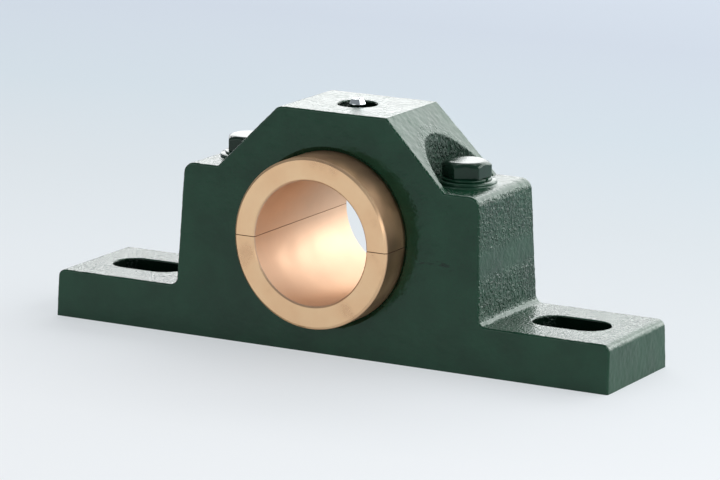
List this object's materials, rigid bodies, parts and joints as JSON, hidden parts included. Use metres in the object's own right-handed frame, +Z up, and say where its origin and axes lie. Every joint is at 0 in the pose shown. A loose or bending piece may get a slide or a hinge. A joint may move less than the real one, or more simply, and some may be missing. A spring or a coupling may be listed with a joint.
{
  "type": "split plummer block",
  "caption": "Split plummer block: cast housing with a bolted cap on slotted feet, holding a plain bronze bush for a shaft, greased from the top.",
  "frame": {"origin": "middle of the underside, below the shaft's centre", "axes": "+X along the feet, +Y along the shaft, +Z up"},
  "size_m": [0.25, 0.075, 0.0984],
  "materials": {
    "green_enamel": "gloss",
    "bush_bronze": "satin",
    "zinc_plated_steel": "satin",
    "plain_steel": "satin"
  },
  "bodies": {
    "housing": {"base_casting": "green_enamel", "cap_casting": "green_enamel", "lower_bush_half": "bush_bronze", "upper_bush_half": "bush_bronze", "cap_bolt_left": "green_enamel", "cap_bolt_right": "green_enamel", "spring_washer_left": "green_enamel", "spring_washer_right": "green_enamel", "flat_washer_left": "green_enamel", "flat_washer_right": "green_enamel", "cap_dowel_left": "plain_steel", "cap_dowel_right": "plain_steel", "bush_peg": "plain_steel", "grease_nipple_body": "zinc_plated_steel", "nipple_spring": "plain_steel"},
    "check_ball": {"nipple_check_ball": "plain_steel"}
  },
  "joints": [
    {"name": "check_ball_press", "type": "slide", "parent": "housing", "child": "check_ball", "axis": [0, 0, -1], "range_m": [0, 0.001], "stiffness_N_per_m": 400, "springref_m": -0.003, "deforming": ["nipple_spring"]}
  ]
}
